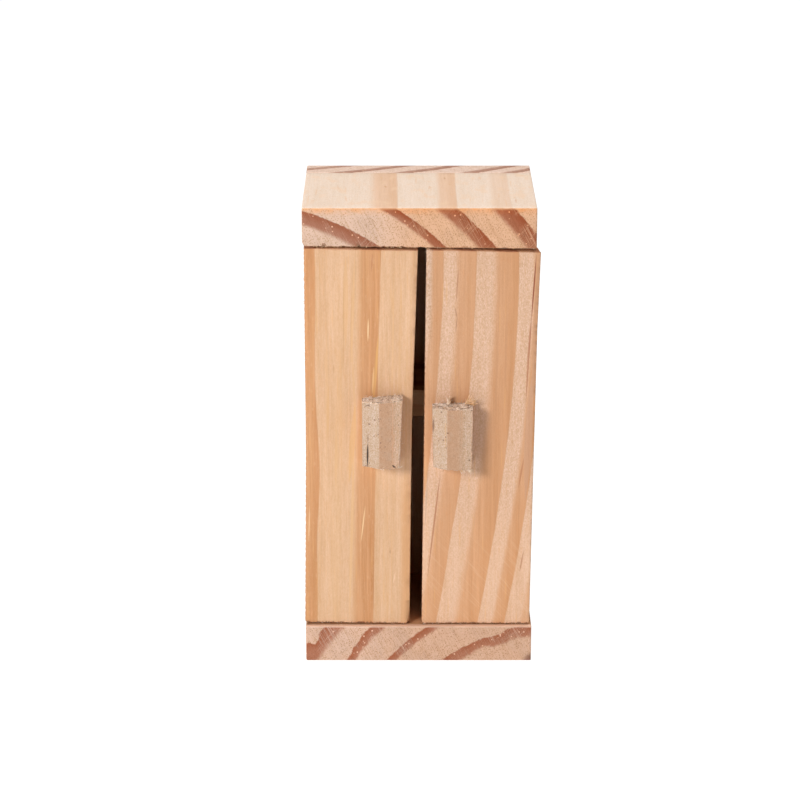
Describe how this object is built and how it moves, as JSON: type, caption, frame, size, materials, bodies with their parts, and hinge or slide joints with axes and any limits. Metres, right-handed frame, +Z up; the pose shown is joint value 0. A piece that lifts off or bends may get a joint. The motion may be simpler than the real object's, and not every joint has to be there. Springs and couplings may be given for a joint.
{
  "type": "miniature wardrobe",
  "caption": "Dolls' house wardrobe of raw pine boards with a shelf and a pair of hinged doors, each with a small whittled block handle.",
  "frame": {"origin": "middle of the carcass's underside, on the surface that it stands on", "axes": "+X to the right seen from the front, +Y to the back, +Z up; the doors and handles face -Y"},
  "size_m": [0.0496, 0.043, 0.1003],
  "materials": {
    "pine_end_grain_bottom": "raw, rough-sawn end grain in front",
    "pine_end_grain_top": "raw, lightly sanded, rough-sawn end grain in front",
    "pine_back": "raw, planed",
    "pine_sides": "raw, planed",
    "pine_shelf": "raw, planed",
    "pine_left_door": "raw, planed, slightly waxy",
    "pine_right_door": "raw, sawn, slightly furry",
    "whittled_stick": "raw, weathered, torn saw ends",
    "steel_pin": "bright drawn wire, cut ends"
  },
  "bodies": {
    "carcass": {"bottom_board": "pine_end_grain_bottom", "top_board": "pine_end_grain_top", "back_panel": "pine_back", "side_panel_left": "pine_sides", "side_panel_right": "pine_sides", "shelf": "pine_shelf"},
    "left_door": {"door_left": "pine_left_door", "handle_left": "whittled_stick", "pivot_pin_left_lower": "steel_pin", "pivot_pin_left_upper": "steel_pin"},
    "right_door": {"door_right": "pine_right_door", "handle_right": "whittled_stick", "pivot_pin_right_lower": "steel_pin", "pivot_pin_right_upper": "steel_pin"}
  },
  "joints": [
    {"name": "left_door_hinge", "type": "hinge", "parent": "carcass", "child": "left_door", "pos_m": [-0.02, -0.0144, 0.05], "axis": [0, 0, -1], "range_deg": [-7, 120]},
    {"name": "right_door_hinge", "type": "hinge", "parent": "carcass", "child": "right_door", "pos_m": [0.0204, -0.0144, 0.05], "axis": [0, 0, 1], "range_deg": [-7, 120]}
  ]
}
